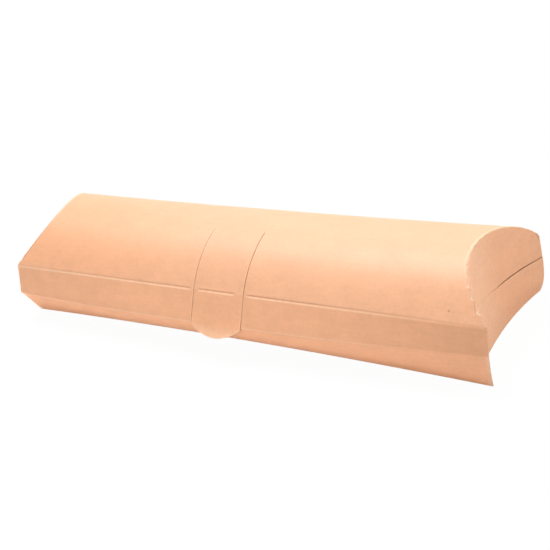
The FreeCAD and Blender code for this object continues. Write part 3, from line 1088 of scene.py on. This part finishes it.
class PILLOWBOX_OT_stage(bpy.types.Operator):
    """Set the floor, the soft light, the white background and the camera"""

    bl_idname = "pillowbox.stage"
    bl_label = "Stage"

    eye = Vector((206.24, -249.70, 218.35)) * MM
    right = Vector((0.8446, 0.4786, -0.2400))
    up = Vector((-0.1006, 0.5821, 0.8069))
    focal_pixels = 1017.0
    picture_pixels = 550.0
    sensor = 36.0
    clip = (0.01, 20.0)
    white = (1.0, 1.0, 1.0, 1.0)
    floor_size = 6.0
    floor_drop = 0.05 * MM
    floor_glow = 0.97
    ambient = 0.0
    lamps = (
        ("top_lamp", (-0.3, 0.22, 1.0), 0.45, 9.8),
        ("back_lamp", (-0.35, 0.85, 0.6), 0.6, 2.9),
        ("end_lamp", (0.95, 0.5, 0.6), 0.8, 3.4),
        ("right_lamp", (0.5, 0.05, 0.6), 0.4, 2.1),
        ("front_lamp", (-0.4, -1.0, 0.12), 0.6, 6.0),
    )

    def execute(self, context):
        self.add_floor(context.scene.pillow_box_colours)
        self.set_world(context.scene)
        for name, place, size, power in self.lamps:
            self.add_lamp(name, place, size, power)
        self.add_camera(context.scene)
        context.scene.view_settings.view_transform = "Standard"
        return {"FINISHED"}

    def seen_directly(self, finish):
        """1 for rays that show the background: from the camera, or through gloss and glass."""
        path = finish.node("ShaderNodeLightPath")
        camera, glossy, through = (
            Tone(finish, path.outputs[f"Is {kind} Ray"]) for kind in ("Camera", "Glossy", "Transmission")
        )
        return camera.at_least(glossy).at_least(through)

    def add_floor(self, colours):
        bpy.ops.object.select_all(action="DESELECT")
        bpy.ops.mesh.primitive_plane_add(size=self.floor_size, location=(0.0, 0.0, -self.floor_drop))
        floor = bpy.context.active_object
        floor.name = "studio_floor"
        material = bpy.data.materials.new("studio_floor")
        finish = Finish(material)
        matt = finish.node("ShaderNodeBsdfDiffuse", None, {"Color": opaque(colours.floor)})
        white = finish.node("ShaderNodeEmission", None, {"Color": self.white, "Strength": 1.0})
        shown = self.seen_directly(finish) * self.floor_glow
        sockets = {0: shown, 1: matt.outputs[0], 2: white.outputs[0]}
        finish.show(finish.node("ShaderNodeMixShader", None, sockets))
        floor.data.materials.append(material)

    def set_world(self, scene):
        scene.world = bpy.data.worlds.new("studio")
        finish = Finish(scene.world, "ShaderNodeOutputWorld")
        soft = finish.node("ShaderNodeBackground", None, {"Color": self.white, "Strength": self.ambient})
        white = finish.node("ShaderNodeBackground", None, {"Color": self.white, "Strength": 1.0})
        sockets = {0: self.seen_directly(finish), 1: soft.outputs[0], 2: white.outputs[0]}
        finish.show(finish.node("ShaderNodeMixShader", None, sockets))

    def add_lamp(self, name, place, size, power):
        bpy.ops.object.light_add(type="AREA", location=place)
        lamp = bpy.context.active_object
        lamp.name = name
        lamp.data.size = size
        lamp.data.energy = power
        lamp.rotation_mode = "QUATERNION"
        lamp.rotation_quaternion = (-Vector(place)).to_track_quat("-Z", "Y")

    def add_camera(self, scene):
        data = bpy.data.cameras.new("photo_camera")
        camera = bpy.data.objects.new("photo_camera", data)
        scene.collection.objects.link(camera)
        data.sensor_width = self.sensor
        data.lens = self.focal_pixels / self.picture_pixels * self.sensor
        data.clip_start, data.clip_end = self.clip
        axes = Matrix((self.right, self.up, self.right.cross(self.up))).transposed()
        camera.matrix_world = Matrix.Translation(self.eye) @ axes.to_4x4()
        scene.camera = camera


class PILLOWBOX_PT_panel(bpy.types.Panel):
    """Lists the steps that dress the box"""

    bl_idname = "PILLOWBOX_PT_panel"
    bl_label = "Pillow box"
    bl_space_type = "VIEW_3D"
    bl_region_type = "UI"
    bl_category = "Pillow box"

    def draw(self, context):
        for step in STEPS:
            self.layout.operator(step.bl_idname)
        for group in (context.scene.pillow_box_sizes, context.scene.pillow_box_colours):
            for name in group.__annotations__:
                self.layout.prop(group, name)


STEPS = (
    PILLOWBOX_OT_finishes,
    PILLOWBOX_OT_bottom_panel,
    PILLOWBOX_OT_walls,
    PILLOWBOX_OT_top_panel,
    PILLOWBOX_OT_front_flaps,
    PILLOWBOX_OT_tear_strip,
    PILLOWBOX_OT_end_flaps,
    PILLOWBOX_OT_seam_glue,
    PILLOWBOX_OT_stage,
)
CLASSES = (BoxSizes, BoxColours, *STEPS, PILLOWBOX_PT_panel)


def register():
    for item in CLASSES:
        bpy.utils.register_class(item)
    bpy.types.Scene.pillow_box_sizes = bpy.props.PointerProperty(type=BoxSizes)
    bpy.types.Scene.pillow_box_colours = bpy.props.PointerProperty(type=BoxColours)


def unregister():
    del bpy.types.Scene.pillow_box_colours
    del bpy.types.Scene.pillow_box_sizes
    for item in reversed(CLASSES):
        bpy.utils.unregister_class(item)


def main():
    register()
    bpy.ops.pillowbox.finishes()
    bpy.ops.pillowbox.bottom_panel()
    bpy.ops.pillowbox.walls()
    bpy.ops.pillowbox.top_panel()
    bpy.ops.pillowbox.front_flaps()
    bpy.ops.pillowbox.tear_strip()
    bpy.ops.pillowbox.end_flaps()
    bpy.ops.pillowbox.seam_glue()
    bpy.ops.pillowbox.stage()


if __name__ == "__main__":
    main()
